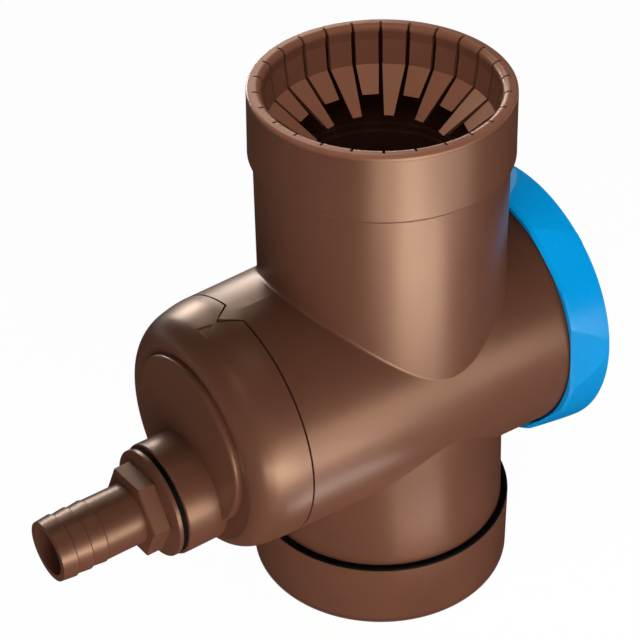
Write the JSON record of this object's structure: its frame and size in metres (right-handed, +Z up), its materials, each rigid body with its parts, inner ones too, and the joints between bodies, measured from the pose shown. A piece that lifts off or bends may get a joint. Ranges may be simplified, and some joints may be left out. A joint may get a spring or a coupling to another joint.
{
  "type": "rainwater diverter",
  "caption": "Plastic rainwater diverter: upright pipe body crossed by a horizontal chamber, springy finger inlet, screw cap at one end and a barbed hose tail at the other.",
  "frame": {"origin": "centre of the outlet collar's lower face, on the pipe's axis", "axes": "+Z up the downpipe, -X along the chamber towards the hose tail, +X towards the access cap"},
  "size_m": [0.2566, 0.133, 0.2536],
  "materials": {
    "brown_plastic": "satin moulded",
    "blue_plastic": "semi-gloss moulded",
    "black_rubber": "matt"
  },
  "bodies": {
    "diverter": {"housing": "brown_plastic", "inlet_finger_ring": "brown_plastic", "throat_ring": "brown_plastic", "leaf_tray": "brown_plastic", "overflow_gasket": "black_rubber", "overflow_pipe": "brown_plastic", "outlet_collar": "brown_plastic", "outlet_seal": "black_rubber", "end_cap": "brown_plastic", "end_cap_seal": "black_rubber", "hose_tail": "brown_plastic", "hose_tail_gasket": "black_rubber"},
    "cap_seal": {"access_cap_seal": "black_rubber"},
    "cap": {"access_cap": "blue_plastic"}
  },
  "joints": [
    {"name": "cap_travel", "type": "slide", "parent": "diverter", "child": "cap_seal", "axis": [1, 0, 0], "range_m": [0, 0.0121]},
    {"name": "cap_turn", "type": "hinge", "parent": "cap_seal", "child": "cap", "pos_m": [0, 0, 0.114], "axis": [1, 0, 0], "range_deg": [0, 720]}
  ],
  "couplings": [
    {"joint": "cap_travel", "follows": "cap_turn", "m_per_rad": 0.00095493}
  ]
}
